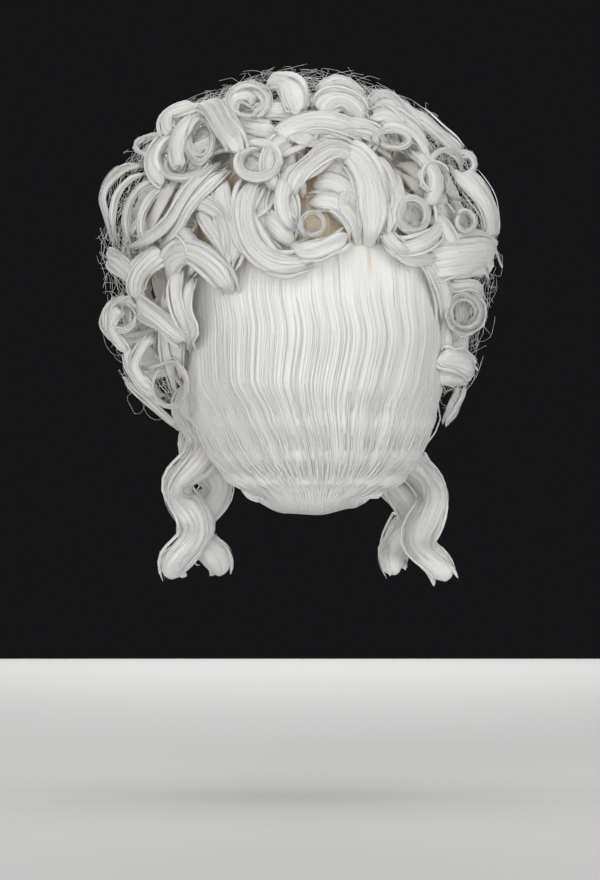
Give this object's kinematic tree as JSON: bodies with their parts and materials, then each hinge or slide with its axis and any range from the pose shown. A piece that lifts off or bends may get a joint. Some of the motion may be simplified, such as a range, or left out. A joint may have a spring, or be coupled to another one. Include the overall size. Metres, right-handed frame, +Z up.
{
  "type": "powdered wig",
  "caption": "White eighteenth-century style theatre wig: high crown of loose rolled curls on a hollow cap, smooth turned-under back hair and long side ringlets.",
  "frame": {"origin": "where the crown of the wearer's head bears on the inside of the cap", "axes": "+Z up, the wearer looks along -Y, +X is the wearer's left"},
  "size_m": [0.3072, 0.2615, 0.3949],
  "materials": {
    "white_hair": "satin synthetic hair, fine streaks along each lock",
    "cap_net": "matt flesh-coloured net"
  },
  "bodies": {
    "root": {"back_fall": "white_hair", "cap": "cap_net", "curl_brow_1": "white_hair", "curl_brow_2": "white_hair", "curl_brow_3": "white_hair", "curl_brow_4": "white_hair", "curl_ear_1": "white_hair", "curl_ear_2": "white_hair", "curl_front_1": "white_hair", "curl_front_2": "white_hair", "curl_front_3": "white_hair", "curl_front_4": "white_hair", "curl_front_5": "white_hair", "curl_front_6": "white_hair", "curl_front_7": "white_hair", "curl_front_8": "white_hair", "curl_front_9": "white_hair", "curl_left_1": "white_hair", "curl_left_2": "white_hair", "curl_left_3": "white_hair", "curl_left_4": "white_hair", "curl_left_5": "white_hair", "curl_left_6": "white_hair", "curl_left_7": "white_hair", "curl_left_8": "white_hair", "curl_middle_1": "white_hair", "curl_middle_2": "white_hair", "curl_middle_3": "white_hair", "curl_middle_4": "white_hair", "curl_middle_5": "white_hair", "curl_middle_6": "white_hair", "curl_middle_7": "white_hair", "curl_middle_8": "white_hair", "curl_middle_9": "white_hair", "curl_right_1": "white_hair", "curl_right_2": "white_hair", "curl_right_3": "white_hair", "curl_right_4": "white_hair", "curl_right_5": "white_hair", "curl_right_6": "white_hair", "curl_right_7": "white_hair", "curl_temple_1": "white_hair", "curl_temple_2": "white_hair", "curl_top_1": "white_hair", "curl_top_2": "white_hair", "curl_top_3": "white_hair", "curl_top_4": "white_hair", "curl_top_5": "white_hair", "curl_top_6": "white_hair", "curl_upper_1": "white_hair", "curl_upper_2": "white_hair", "curl_upper_3": "white_hair", "curl_upper_4": "white_hair", "nape_roll": "white_hair", "ringlet_left_1": "white_hair", "ringlet_left_2": "white_hair", "ringlet_right_1": "white_hair", "ringlet_right_2": "white_hair", "root_hair": "white_hair"}
  },
  "joints": []
}
